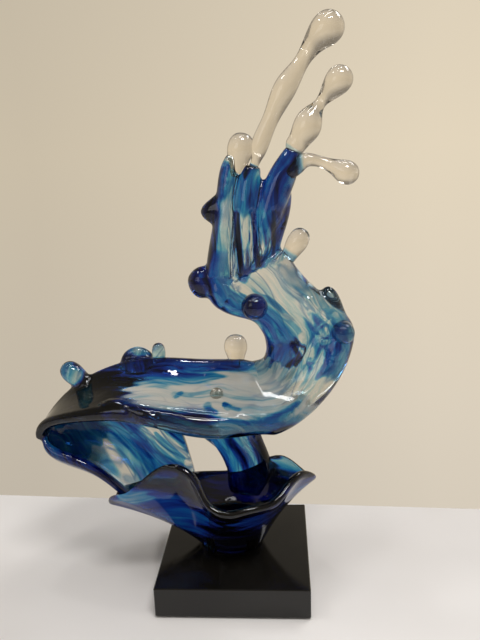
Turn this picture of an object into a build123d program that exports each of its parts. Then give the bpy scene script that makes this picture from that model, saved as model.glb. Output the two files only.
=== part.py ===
"""Glass wave sculpture bolted to a square black plinth, in millimetres with +Z up.

The origin is at the centre of the felt pad's underside, +X runs to the viewer's right
and +Y away from the viewer. Every height of the glass is measured from the plinth's top,
so the glass keeps its place on the plinth when the plinth's height changes.
"""

import os

from build123d import *

os.makedirs("parts", exist_ok=True)

# Plinth and felt pad
PLINTH_SIDE = 150.0
PLINTH_HEIGHT = 31.0
PLINTH_CHAMFER = 0.8
PAD_THICKNESS = 1.8
PAD_INSET = 4.0
PLINTH_TOP = PAD_THICKNESS + PLINTH_HEIGHT

# Bolts that hold the glass foot down from below
BOLT_SPACING = 32.0
BOLT_RADIUS = 3.0
BOLT_CLEARANCE = 0.3
BOLT_REACH = 12.0
HEAD_RADIUS = 5.0
HEAD_HEIGHT = 6.0
KEY_RADIUS = 2.9
KEY_SIDES = 6
KEY_DEPTH = 3.0
WASHER_RADIUS = 6.0
WASHER_THICKNESS = 1.6
COUNTERBORE_RADIUS = 7.0
COUNTERBORE_DEPTH = 12.0
INSERT_RADIUS = 5.0
INSERT_LENGTH = 15.0

# Foot, an oval block that widens towards the bowl
FOOT_X = -5.0
FOOT_Y = 4.0
FOOT_HALF_WIDTH = 36.0
FOOT_HALF_DEPTH = 26.0
FOOT_HEIGHT = 30.0
FOOT_RINGS = [(0.0, 0.9), (0.5, 0.98), (1.0, 1.06)]

# Ruffled bowl: its rim as x, y, height, and the share of the height reached half way out
BOWL_WALL = 9.0
BOWL_WALL_SHARES = (1.4, 1.2, 0.8)
BOWL_ROOT_SHARE = 0.8
BOWL_ROOT_HEIGHT = 8.0
BOWL_PARTING_ANGLE = 5.0
BOWL_RIM = [
    (66, 26, 72, 0.62),
    (80, 6, 74, 0.62),
    (71, -14, 88, 0.56),
    (56, -31, 85, 0.55),
    (42, -46, 75, 0.6),
    (18, -58, 74, 0.6),
    (-5, -60, 71, 0.6),
    (-20, -56, 78, 0.58),
    (-34, -46, 100, 0.54),
    (-60, -40, 109, 0.54),
    (-86, -41, 92, 0.58),
    (-104, -36, 76, 0.6),
    (-121, -22, 65, 0.6),
    (-114, 6, 58, 0.62),
    (-88, 32, 54, 0.64),
    (-38, 44, 56, 0.6),
    (10, 46, 60, 0.55),
    (48, 42, 76, 0.6),
]
FRONT_COUNT = 14
SHARED_COUNT = 3

# Barrel of the wave: top, back and bottom point of each hoop, from the nose inwards
BARREL_WALL = 10.0
BARREL_HOOPS = [
    ((-187, -6, 143), (-189, 12, 136), (-190, -9, 127)),
    ((-172, -14, 153), (-173, 34, 133), (-175, -18, 113)),
    ((-145, -18, 158), (-147, 48, 129), (-147, -21, 103)),
    ((-115, -20, 162), (-118, 54, 119), (-120, -18, 80)),
    ((-88, -22, 164), (-88, 55, 107), (-88, -5, 45)),
    ((-66, -22, 162), (-58, 50, 99), (-36, 18, 32)),
]

# Wave ribbon: inner edge, outer edge, share of the full thickness
RIBBON_THICKNESS = 25.0
RIBBON_DISH = 4.0
RIBBON_BELLY = 2.0
RIBBON_EDGE = 0.8
RIBBON_FULL_HALF = 45.0
DECK_STATIONS = 7
BEND_STATIONS = 11
RIBBON_STATIONS = [
    ((-190, 8, 139), (-195, -14, 127), 0.34),
    ((-167, 24, 163), (-172, -24, 149), 0.44),
    ((-140, 33, 179), (-142, -32, 156), 0.55),
    ((-95, 38, 190), (-98, -40, 160), 0.74),
    ((-50, 38, 190), (-50, -45, 151), 0.95),
    ((-8, 35, 190), (0, -41, 143), 1.05),
    ((22, 27, 190), (42, -38, 144), 1.15),
    ((34, 18, 198), (74, -28, 157), 1.3),
    ((37, 9, 208), (98, -19, 178), 1.4),
    ((37, 3, 220), (115, -11, 207), 1.45),
    ((35, 0, 230), (121, -4, 229), 1.45),
    ((29, 0, 240), (113, 0, 248), 1.45),
    ((18, 0, 247), (90, 0, 269), 1.4),
    ((-2, 0, 253), (68, 0, 292), 1.35),
    ((-18, 0, 270), (56, 0, 310), 1.3),
]

# Rear stem: x, y, height, half width, half thickness
STEM_STATIONS = [
    (18, 32, 42, 24, 10),
    (15, 36, 67, 25, 11),
    (5, 40, 92, 27, 12),
    (-10, 40, 112, 36, 12),
    (-18, 34, 142, 44, 13),
    (-24, 24, 178, 42, 14),
]

# Rising streams: share across the curl's end, y, half width and half depth at the base,
# then x, y, height, half width and half depth on the way up
LEFT_STREAM_BASE = (0.149, 0, 14, 16)
LEFT_STREAM = [
    (-1, 0, 317, 12.5, 15),
    (3, 0, 342, 11, 13),
    (6, 0, 367, 10, 10.5),
    (9, 0, 388, 8, 8.5),
    (10.5, 0, 397, 4, 4.5),
]
CENTRE_STREAM_BASE = (0.432, -3, 13, 16)
CENTRE_STREAM = [
    (18, -5, 317, 11.5, 14),
    (21, -6, 342, 12.5, 13),
    (25, -5, 369, 11.5, 12),
    (29, -4, 387, 6.5, 7.5),
]
RIGHT_STREAM_BASE = (0.69, -4, 12, 15)
RIGHT_STREAM = [
    (35, -8, 317, 11, 14),
    (41, -9, 342, 11.5, 13),
    (51, -8, 369, 12.5, 12),
    (60, -7, 388, 10.5, 10.5),
    (65.5, -6, 400, 7, 7.5),
]
OUTER_STREAM_BASE = (0.8, 2, 16, 14)
OUTER_STREAM = [
    (41, 3, 317, 11.5, 12),
    (49, 2, 340, 10.5, 11),
    (54, 0, 354, 8.5, 9),
    (59, -2, 370, 4.5, 6),
]

# Lines that part neighbouring streams, as x and height at the foot and at the top
LEFT_SEAM = ((9, 282), (13, 392))
CENTRE_SEAM = ((27, 293), (34, 367))
RIGHT_SEAM = ((33, 299), (63, 364))

# Clear fingers: x, y, height and radius of each round section, the last one the head's
TALL_FINGER = [
    (29, -4, 387, 5.6),
    (34, -4, 399, 6.2),
    (41, -4, 417.5, 7.5),
    (46.7, -4, 429, 7.3),
    (60, -4, 454, 9.9),
    (73.4, -4, 473, 6.7),
    (83.7, -4, 487, 9.7),
    (95.5, -4, 498.5, 13.8),
]
MIDDLE_FINGER = [
    (65.5, -6, 400, 6.2),
    (70.5, -6, 408.5, 9.4),
    (77.6, -6, 419.7, 12.3),
    (85.5, -6, 434, 6.7),
    (105, -6, 457, 11.6),
]
SHORT_FINGER = [
    (60, -10, 381, 7),
    (69, -10, 386, 7.5),
    (77.7, -10, 391, 6.1),
    (89.6, -10, 389, 4.8),
    (101.2, -10, 384.3, 7),
    (112, -10, 379, 10.3),
]
HEAD_SHARES = (0.45, 0.75, 0.93, 0.995)

# Drops and beads: root, tip, head radius, neck radius
DROP_BACK = Vector(0, 1, 0.3)
LEFT_TIP_DROP = ((-150, 22, 170), (-175, 25, 193), 10.4, 9.0)
FIN_BEAD = ((-75, 33, 186), (-76, 34, 212), 6.6, 5.4)
DECK_DROP = ((5, 30, 183), (4.5, 33, 220), 11.8, 6.8)
DECK_INSET_BEAD = ((-12.5, -5, 163), (-12.5, -14, 178), 6.8, 6.0)
INNER_BEAD = ((27.5, -4, 261), (27.5, -28, 261), 12.2, 11.5)
TOP_LEFT_BEAD = ((13, -2, 381), (21.5, -2, 416), 11.7, 8.5)
CURL_DROP = ((54, 2, 295), (74.8, 2, 329), 9.5, 6.2)
RIGHT_BEAD = ((105.5, -4, 236), (111, -31, 235.5), 10.2, 9.6)

# Lobes drawn out of the glass: x, y, height, half width and half depth of each section
NECK_BEAD = [
    (-6, 0, 278, 11, 10),
    (-15, 0, 280.5, 13.5, 11),
    (-24, 0, 282.5, 15, 12),
    (-31, 0, 283.5, 10.5, 9),
    (-34.8, 0, 284, 4.5, 4),
    (-35.8, 0, 284, 1.2, 1.2),
]
LEFT_LOBE = [
    (3, 0, 348, 17, 9.5),
    (-6, 0, 348, 14.5, 9),
    (-13, 0, 347.8, 9.5, 7.5),
    (-18.5, 0, 347.7, 4.5, 4),
    (-20, 0, 347.7, 1.2, 1.2),
]
HORN = [
    (100, 0, 246, 13, 12),
    (98, 0, 257, 11, 10.5),
    (96.5, 0, 266, 8.8, 8.5),
    (95.8, 0, 272.5, 5, 5),
    (95.5, 0, 275, 1.2, 1.2),
]

# Back fin: a thin round lobe standing on the deck's back edge
FIN_PLACE = (-99, 38, 188)
FIN_RADIUS = 18.5
FIN_THICKNESS = 10.0
FIN_ROUNDING = 4.5


def above(x, y, height):
    """Return the point at a height above the plinth's top."""
    return Vector(x, y, PLINTH_TOP + height)


def foot_reach(direction, share):
    """Return the distance from the foot's axis to a share of its oval, in one direction."""
    across = direction.X / FOOT_HALF_WIDTH
    deep = direction.Y / FOOT_HALF_DEPTH
    return share / (across**2 + deep**2) ** 0.5


def hoop_plane(start, middle, end):
    """Return the plane through three points, with its X axis from the first to the last."""
    return Plane(origin=start, x_dir=end - start, z_dir=(middle - start).cross(end - start))


def strip_sides(start, middle, end, wall):
    """Return the left points, the rounded ends and the right points of a curved strip.

    The wall holds the strip's thickness at its start, middle and end.
    """
    points = (start, middle, end)
    run = (end - start).normalized()
    first = (middle - start).normalized()
    last = (end - middle).normalized()
    tangents = (first * 2 * first.dot(run) - run, run, last * 2 * last.dot(run) - run)
    left = []
    right = []
    for point, tangent, thickness in zip(points, tangents, wall):
        side = Vector(-tangent.Y, tangent.X) * (thickness / 2)
        left.append(point + side)
        right.append(point - side)
    ends = (start - tangents[0] * (wall[0] / 2), end + tangents[2] * (wall[2] / 2))
    return left, ends, right


def shell(hoops, wall):
    """Return a curved sheet lofted through hoops of three points, with rounded rims."""
    with BuildPart() as sheet:
        for start, middle, end in hoops:
            plane = hoop_plane(start, middle, end)
            flat = [plane.to_local_coords(point) for point in (start, middle, end)]
            left, ends, right = strip_sides(*flat, wall)
            with BuildSketch(plane):
                with BuildLine():
                    ThreePointArc(*left)
                    ThreePointArc(left[2], ends[1], right[2])
                    ThreePointArc(*reversed(right))
                    ThreePointArc(right[0], ends[0], left[0])
                make_face()
        loft()
    return sheet.part


def bowl_hoops(rim):
    """Return the root, middle and rim point of each station of the ruffled bowl."""
    axis = above(FOOT_X, FOOT_Y, BOWL_ROOT_HEIGHT)
    hoops = []
    for x, y, height, rise in rim:
        edge = above(x, y, height)
        outward = Vector(edge.X - axis.X, edge.Y - axis.Y).normalized()
        root = axis + outward * foot_reach(outward, BOWL_ROOT_SHARE)
        half_way = (root + edge) / 2
        climb = root.Z + rise * (edge.Z - root.Z)
        hoops.append((root, Vector(half_way.X, half_way.Y, climb), edge))
    return hoops


def station_planes(centres, across):
    """Return a plane at each centre, square to the path, with its X axis across it."""
    planes = []
    for index, centre in enumerate(centres):
        along = centres[min(index + 1, len(centres) - 1)] - centres[max(index - 1, 0)]
        side = across[index].normalized()
        normal = along - side * along.dot(side)
        planes.append(Plane(origin=centre, x_dir=side, z_dir=normal))
    return planes


def level_planes(points):
    """Return planes square to a path that rises in the XZ plane."""
    return station_planes(points, [Vector(0, -1, 0)] * len(points))


def ribbon_frames(stations):
    """Return the plane, half width and half thickness of each ribbon station."""
    edges = [(above(*inner), above(*outer)) for inner, outer, _ in stations]
    centres = [(inner + outer) / 2 for inner, outer in edges]
    spans = [outer - inner for inner, outer in edges]
    planes = station_planes(centres, spans)
    shares = [share for _, _, share in stations]
    return [
        (plane, span.length / 2, share * RIBBON_THICKNESS / 2)
        for plane, span, share in zip(planes, spans, shares)
    ]


def ribbon(frames):
    """Return a ribbon of glass lofted through its frames, dished on the viewer's side."""
    with BuildPart() as body:
        for plane, half, thick in frames:
            shoulder = half - RIBBON_EDGE * thick
            dish = RIBBON_DISH * half / RIBBON_FULL_HALF
            with BuildSketch(plane):
                with BuildLine():
                    ThreePointArc((shoulder, -thick), (half, 0), (shoulder, thick))
                    ThreePointArc((shoulder, thick), (0, thick + RIBBON_BELLY), (-shoulder, thick))
                    ThreePointArc((-shoulder, thick), (-half, 0), (-shoulder, -thick))
                    ThreePointArc((-shoulder, -thick), (0, dish - thick), (shoulder, -thick))
                make_face()
        loft()
    return body.part


def stem(stations):
    """Return an upright blade of glass lofted through level ovals."""
    with BuildPart() as body:
        for x, y, height, half_width, half_depth in stations:
            with BuildSketch(Plane(above(x, y, height))):
                Ellipse(half_width, half_depth)
        loft()
    return body.part


def seam_plane(foot_point, top_point):
    """Return the upright plane along a seam between two streams, facing right."""
    run = Vector(top_point[0] - foot_point[0], 0, top_point[1] - foot_point[1])
    return Plane(above(foot_point[0], 0, foot_point[1]), x_dir=run, z_dir=(run.Z, 0, -run.X))


def stream(base, stations, end_of_curl, left_seam=None, right_seam=None):
    """Return a rising stream that stands on the end of the curl, between its seams."""
    share, y, half_width, half_depth = base
    plane, half, _ = end_of_curl
    root = plane.origin + plane.x_dir * half * (2 * share - 1) + Vector(0, y, 0)
    points = [root] + [above(x, y, height) for x, y, height, _, _ in stations]
    ovals = [(half_width, half_depth)] + [(wide, deep) for _, _, _, wide, deep in stations]
    planes = [Plane(origin=root, x_dir=(0, -1, 0), z_dir=plane.z_dir)]
    planes += level_planes(points)[1:]
    with BuildPart() as body:
        for place, (wide, deep) in zip(planes, ovals):
            with BuildSketch(place):
                with BuildLine():
                    EllipticalCenterArc((0, 0), deep, wide, start_angle=0, arc_size=180)
                    EllipticalCenterArc((0, 0), deep, wide, start_angle=180, arc_size=180)
                make_face()
        loft()
        if left_seam:
            split(bisect_by=seam_plane(*left_seam), keep=Keep.TOP)
        if right_seam:
            split(bisect_by=seam_plane(*right_seam), keep=Keep.BOTTOM)
    return body.part


def lobe(stations):
    """Return a lobe drawn out of the glass, with oval sections square to its path."""
    planes = level_planes([above(*station[:3]) for station in stations])
    with BuildPart() as body:
        for plane, (_, _, _, half_width, half_depth) in zip(planes, stations):
            with BuildSketch(plane):
                with BuildLine():
                    EllipticalCenterArc((0, 0), half_depth, half_width, start_angle=0, arc_size=180)
                    EllipticalCenterArc((0, 0), half_depth, half_width, start_angle=180, arc_size=180)
                make_face()
        loft()
    return body.part


def finger(stations, stem_stations=None):
    """Return a finger of clear glass with round sections, closed by a round head.

    With stem_stations, its first section lies on the end of that stream.
    """
    points = [above(x, y, height) for x, y, height, _ in stations]
    radii = [radius for _, _, _, radius in stations]
    planes = level_planes(points)
    if stem_stations:
        planes[0] = level_planes([above(*station[:3]) for station in stem_stations])[-1]
    head = planes[-1]
    rings = list(zip(planes, radii))
    for share in HEAD_SHARES:
        rings.append((head.offset(share * radii[-1]), radii[-1] * (1 - share**2) ** 0.5))
    with BuildPart() as body:
        for plane, radius in rings:
            with BuildSketch(plane):
                with BuildLine():
                    CenterArc((0, 0), radius, start_angle=0, arc_size=180)
                    CenterArc((0, 0), radius, start_angle=180, arc_size=180)
                make_face()
        loft()
    return body.part


def drop(root, tip, head, neck):
    """Return a drop that widens from its neck to a round head, turned about its own axis."""
    start = above(*root)
    reach = above(*tip) - start
    side = reach.cross(DROP_BACK).normalized()
    plane = Plane(origin=start, x_dir=side, z_dir=side.cross(reach))
    length = reach.length
    with BuildPart() as body:
        with BuildSketch(plane):
            with BuildLine():
                Line((0, 0), (neck, 0))
                Spline(
                    (neck, 0),
                    (head, length - head),
                    (0, length),
                    tangents=((0, 1), (-1, 0)),
                )
                Line((0, length), (0, 0))
            make_face()
        revolve(axis=Axis(start, reach))
    return body.part


def seated(body, *hosts):
    """Return a body cut to lie against the pieces it is bonded to, without loose slivers."""
    with BuildPart() as piece:
        add(body)
        for host in hosts:
            add(host.part, mode=Mode.SUBTRACT)
        add(piece.solids().sort_by(SortBy.VOLUME)[-1], mode=Mode.REPLACE)
    return piece.part


# Base pieces
with BuildPart() as base_pad:
    with BuildSketch():
        Rectangle(PLINTH_SIDE - 2 * PAD_INSET, PLINTH_SIDE - 2 * PAD_INSET)
    extrude(amount=PAD_THICKNESS)

BOLT_PLACES = [(FOOT_X - BOLT_SPACING / 2, FOOT_Y), (FOOT_X + BOLT_SPACING / 2, FOOT_Y)]
SHOULDER_HEIGHT = PAD_THICKNESS + COUNTERBORE_DEPTH
HEAD_TOP = SHOULDER_HEIGHT - WASHER_THICKNESS

with BuildPart() as plinth:
    with BuildSketch(Plane.XY.offset(PAD_THICKNESS)):
        Rectangle(PLINTH_SIDE, PLINTH_SIDE)
    extrude(amount=PLINTH_HEIGHT)
    chamfer(plinth.edges(), PLINTH_CHAMFER)
    with BuildSketch(Plane.XY.offset(PAD_THICKNESS)):
        with Locations(*BOLT_PLACES):
            Circle(COUNTERBORE_RADIUS)
    extrude(amount=COUNTERBORE_DEPTH, mode=Mode.SUBTRACT)
    with BuildSketch(Plane.XY.offset(PAD_THICKNESS)):
        with Locations(*BOLT_PLACES):
            Circle(BOLT_RADIUS + BOLT_CLEARANCE)
    extrude(amount=PLINTH_HEIGHT, mode=Mode.SUBTRACT)

with BuildPart() as bolt_washers:
    with BuildSketch(Plane.XY.offset(HEAD_TOP)):
        with Locations(*BOLT_PLACES):
            Circle(WASHER_RADIUS)
            Circle(BOLT_RADIUS + BOLT_CLEARANCE, mode=Mode.SUBTRACT)
    extrude(amount=WASHER_THICKNESS)

with BuildPart() as mounting_bolts:
    with BuildSketch(Plane.XY.offset(HEAD_TOP)):
        with Locations(*BOLT_PLACES):
            Circle(HEAD_RADIUS)
    extrude(amount=-HEAD_HEIGHT)
    with BuildSketch(Plane.XY.offset(HEAD_TOP)):
        with Locations(*BOLT_PLACES):
            Circle(BOLT_RADIUS)
    extrude(amount=PLINTH_TOP + BOLT_REACH - HEAD_TOP)
    with BuildSketch(Plane.XY.offset(HEAD_TOP - HEAD_HEIGHT)):
        with Locations(*BOLT_PLACES):
            RegularPolygon(KEY_RADIUS, KEY_SIDES)
    extrude(amount=KEY_DEPTH, mode=Mode.SUBTRACT)

with BuildPart() as threaded_inserts:
    with BuildSketch(Plane.XY.offset(PLINTH_TOP)):
        with Locations(*BOLT_PLACES):
            Circle(INSERT_RADIUS)
            Circle(BOLT_RADIUS, mode=Mode.SUBTRACT)
    extrude(amount=INSERT_LENGTH)

# Foot and ruffled bowl
with BuildPart() as foot_block:
    for rise, share in FOOT_RINGS:
        with BuildSketch(Plane(above(FOOT_X, FOOT_Y, rise * FOOT_HEIGHT))):
            Ellipse(share * FOOT_HALF_WIDTH, share * FOOT_HALF_DEPTH)
    loft()

with BuildPart() as foot:
    add(foot_block.part)
    with BuildSketch(Plane.XY.offset(PLINTH_TOP)):
        with Locations(*BOLT_PLACES):
            Circle(INSERT_RADIUS)
    extrude(amount=INSERT_LENGTH, mode=Mode.SUBTRACT)

BOWL_WALLS = [share * BOWL_WALL for share in BOWL_WALL_SHARES]
bowl_parting = Plane(
    origin=(FOOT_X, FOOT_Y, 0),
    x_dir=(0, 0, 1),
    z_dir=Vector(0, 1, 0).rotate(Axis.Z, BOWL_PARTING_ANGLE),
)
bowl_loop = bowl_hoops(BOWL_RIM)
front_sheet = shell(bowl_loop[:FRONT_COUNT], BOWL_WALLS)
rear_sheet = shell(bowl_loop[FRONT_COUNT - SHARED_COUNT:] + bowl_loop[:SHARED_COUNT], BOWL_WALLS)

with BuildPart() as front_ruffle:
    add(front_sheet)
    split(bisect_by=bowl_parting, keep=Keep.BOTTOM)
    add(foot_block.part, mode=Mode.SUBTRACT)

with BuildPart() as rear_bowl:
    add(rear_sheet)
    split(bisect_by=bowl_parting, keep=Keep.TOP)
    add(foot_block.part, mode=Mode.SUBTRACT)

# Wave: deck, curl, barrel and stem
wave_frames = ribbon_frames(RIBBON_STATIONS)
with BuildPart() as crest_deck:
    add(ribbon(wave_frames[:DECK_STATIONS]))

with BuildPart() as rising_curl:
    add(ribbon(wave_frames[DECK_STATIONS - 1:BEND_STATIONS]))
    add(ribbon(wave_frames[BEND_STATIONS - 1:]))

barrel_sheet = shell([[above(*point) for point in hoop] for hoop in BARREL_HOOPS], [BARREL_WALL] * 3)
with BuildPart() as barrel_shell:
    add(seated(barrel_sheet, crest_deck, front_ruffle, rear_bowl, foot_block))

stem_blade = stem(STEM_STATIONS)
with BuildPart() as rear_stem:
    add(seated(stem_blade, crest_deck, rear_bowl, barrel_shell, foot_block))

# Rising streams, each cut to its neighbour
end_of_curl = wave_frames[-1]
with BuildPart() as left_stream:
    add(stream(LEFT_STREAM_BASE, LEFT_STREAM, end_of_curl, right_seam=LEFT_SEAM))

with BuildPart() as centre_stream:
    add(stream(CENTRE_STREAM_BASE, CENTRE_STREAM, end_of_curl, LEFT_SEAM, CENTRE_SEAM))

with BuildPart() as right_stream:
    add(stream(RIGHT_STREAM_BASE, RIGHT_STREAM, end_of_curl, CENTRE_SEAM, RIGHT_SEAM))

with BuildPart() as outer_stream:
    add(stream(OUTER_STREAM_BASE, OUTER_STREAM, end_of_curl, left_seam=RIGHT_SEAM))

# Fingers
with BuildPart() as tall_finger:
    add(finger(TALL_FINGER, CENTRE_STREAM))

with BuildPart() as middle_finger:
    add(finger(MIDDLE_FINGER, RIGHT_STREAM))

with BuildPart() as short_finger:
    add(seated(finger(SHORT_FINGER), right_stream))

# Drops and beads
with BuildPart() as left_tip_drop:
    add(seated(drop(*LEFT_TIP_DROP), crest_deck, barrel_shell))

with BuildPart() as fin_bead:
    add(seated(drop(*FIN_BEAD), crest_deck))

with BuildPart() as back_fin:
    with BuildSketch(Plane(origin=above(*FIN_PLACE), x_dir=(1, 0, 0), z_dir=(0, 1, 0))):
        Circle(FIN_RADIUS)
    extrude(amount=FIN_THICKNESS / 2, both=True)
    fillet(back_fin.edges().filter_by(GeomType.CIRCLE), FIN_ROUNDING)
    add(crest_deck.part, mode=Mode.SUBTRACT)
    add(back_fin.solids().sort_by(Axis.Z)[-1], mode=Mode.REPLACE)

with BuildPart() as deck_drop:
    add(seated(drop(*DECK_DROP), crest_deck))

with BuildPart() as deck_inset_bead:
    add(seated(drop(*DECK_INSET_BEAD), crest_deck))

with BuildPart() as inner_bead:
    add(seated(drop(*INNER_BEAD), rising_curl))

with BuildPart() as neck_bead:
    add(seated(lobe(NECK_BEAD), left_stream, rising_curl))

with BuildPart() as left_lobe:
    add(seated(lobe(LEFT_LOBE), left_stream, centre_stream))

with BuildPart() as top_left_bead:
    add(seated(drop(*TOP_LEFT_BEAD), left_stream, centre_stream, tall_finger))

with BuildPart() as curl_drop:
    add(seated(drop(*CURL_DROP), rising_curl, outer_stream, right_stream))

with BuildPart() as horn:
    add(seated(lobe(HORN), rising_curl))

with BuildPart() as right_bead:
    add(seated(drop(*RIGHT_BEAD), rising_curl, horn))

PIECES = {
    "base_pad": base_pad,
    "plinth": plinth,
    "bolt_washers": bolt_washers,
    "mounting_bolts": mounting_bolts,
    "threaded_inserts": threaded_inserts,
    "foot": foot,
    "front_ruffle": front_ruffle,
    "rear_bowl": rear_bowl,
    "barrel_shell": barrel_shell,
    "rear_stem": rear_stem,
    "crest_deck": crest_deck,
    "rising_curl": rising_curl,
    "left_stream": left_stream,
    "centre_stream": centre_stream,
    "right_stream": right_stream,
    "outer_stream": outer_stream,
    "tall_finger": tall_finger,
    "middle_finger": middle_finger,
    "short_finger": short_finger,
    "left_tip_drop": left_tip_drop,
    "back_fin": back_fin,
    "fin_bead": fin_bead,
    "deck_drop": deck_drop,
    "deck_inset_bead": deck_inset_bead,
    "neck_bead": neck_bead,
    "left_lobe": left_lobe,
    "top_left_bead": top_left_bead,
    "inner_bead": inner_bead,
    "curl_drop": curl_drop,
    "horn": horn,
    "right_bead": right_bead,
}
for name, piece in PIECES.items():
    piece.part.label = name
    export_step(piece.part, f"parts/{name}.step")
    print(name, len(piece.solids()), round(piece.part.volume), piece.part.is_valid)
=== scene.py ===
"""Glass wave sculpture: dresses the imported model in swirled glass, acrylic, felt and metal.

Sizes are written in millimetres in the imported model's own frame and turn to metres where a
mesh, a lamp or a node takes them. +Z is up, +X is the viewer's right and +Y is away.
"""

import logging
import math
from dataclasses import dataclass, field
from enum import Enum

import bmesh
import bpy
import numpy as np
from mathutils import Matrix, Vector
from mathutils.bvhtree import BVHTree


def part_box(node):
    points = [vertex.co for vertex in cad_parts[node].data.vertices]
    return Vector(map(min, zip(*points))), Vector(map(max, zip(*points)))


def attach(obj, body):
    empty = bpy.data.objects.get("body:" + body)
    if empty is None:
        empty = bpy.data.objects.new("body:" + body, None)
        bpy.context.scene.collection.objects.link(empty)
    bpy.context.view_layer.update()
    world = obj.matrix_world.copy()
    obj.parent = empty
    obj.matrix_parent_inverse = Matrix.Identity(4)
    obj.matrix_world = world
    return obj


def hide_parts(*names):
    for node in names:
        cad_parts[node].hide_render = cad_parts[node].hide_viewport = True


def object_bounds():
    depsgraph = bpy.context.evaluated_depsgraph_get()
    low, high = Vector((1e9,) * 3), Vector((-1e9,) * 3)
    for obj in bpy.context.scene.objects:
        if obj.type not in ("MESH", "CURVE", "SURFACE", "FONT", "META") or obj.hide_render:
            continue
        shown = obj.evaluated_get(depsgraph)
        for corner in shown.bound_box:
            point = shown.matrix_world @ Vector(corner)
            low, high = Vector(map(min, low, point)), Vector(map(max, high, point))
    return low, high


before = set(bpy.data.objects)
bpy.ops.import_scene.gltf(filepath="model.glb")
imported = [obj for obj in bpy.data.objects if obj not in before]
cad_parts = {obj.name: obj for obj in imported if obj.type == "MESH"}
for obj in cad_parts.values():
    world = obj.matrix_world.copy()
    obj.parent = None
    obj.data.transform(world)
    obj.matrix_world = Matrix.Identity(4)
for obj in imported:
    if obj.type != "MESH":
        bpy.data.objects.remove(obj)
CAD_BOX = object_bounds()

MM = 0.001
BODY = "root"
log = logging.getLogger("glass_wave")

Point = tuple[float, float, float]
Pair = tuple[float, float]
Colour = tuple[float, float, float, float]
Stop = tuple[float, str]
Tree = bpy.types.NodeTree
Socket = bpy.types.NodeSocket

# A mix node's sockets for colours, by place, because their names repeat those for numbers.
MIX_SHARE, MIX_FIRST, MIX_SECOND, MIX_RESULT = 0, 6, 7, 2
# A wave texture turns through this many radians over one unit of its coordinates.
WAVE_TURN = 20


class Slot(Enum):
    """The record's material slots that the new pieces take."""

    BLUE_GLASS = "blue_glass"
    NAVY_GLASS = "navy_glass"
    CLEAR_GLASS = "clear_glass"
    BLACK_FELT = "black_felt"


def to_linear(code: str) -> Colour:
    """Turn an sRGB hex colour into linear light.

    Args:
        code: The colour as #RRGGBB.

    Returns:
        Red, green, blue and a full alpha.
    """
    channels = [int(code[i : i + 2], 16) / 255 for i in (1, 3, 5)]
    red, green, blue = (
        c / 12.92 if c <= 0.04045 else ((c + 0.055) / 1.055) ** 2.4 for c in channels
    )
    return red, green, blue, 1.0


def add_node(
    tree: Tree,
    kind: str,
    inputs: dict[str | int, object] | None = None,
    stops: tuple[Stop, ...] = (),
    **settings: object,
) -> bpy.types.Node:
    """Add a node with its settings, its colour stops and its links.

    Args:
        tree: The node tree that takes the node.
        kind: Blender's name for the node's type.
        inputs: For each input by name or place, a value or the socket that feeds it.
        stops: Places and hex colours of a colour ramp.
        settings: The node's own properties.

    Returns:
        The new node.
    """
    node = tree.nodes.new(kind)
    for name, value in settings.items():
        setattr(node, name, value)
    for key, value in (inputs or {}).items():
        if isinstance(value, Socket):
            tree.links.new(value, node.inputs[key])
        else:
            node.inputs[key].default_value = value
    if stops:
        ramp = node.color_ramp.elements
        while len(ramp) < len(stops):
            ramp.new(1.0)
        for element, (place, code) in zip(ramp, stops):
            element.position = place
            element.color = to_linear(code)
    return node


@dataclass(frozen=True)
class Finish:
    """A real material and how its surface was made."""

    name: str

    def material(self) -> bpy.types.Material:
        """Make the finish's material at its first use, and find it again later.

        Returns:
            The material.
        """
        found = bpy.data.materials.get(self.name)
        if found:
            return found
        made = bpy.data.materials.new(self.name)
        made.use_nodes = True
        tree = made.node_tree
        tree.nodes.clear()
        add_node(tree, "ShaderNodeOutputMaterial", {"Surface": self.surface(tree)})
        return made

    def surface(self, tree: Tree) -> Socket:
        """Build the finish's nodes and return its shader."""
        raise NotImplementedError


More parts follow.
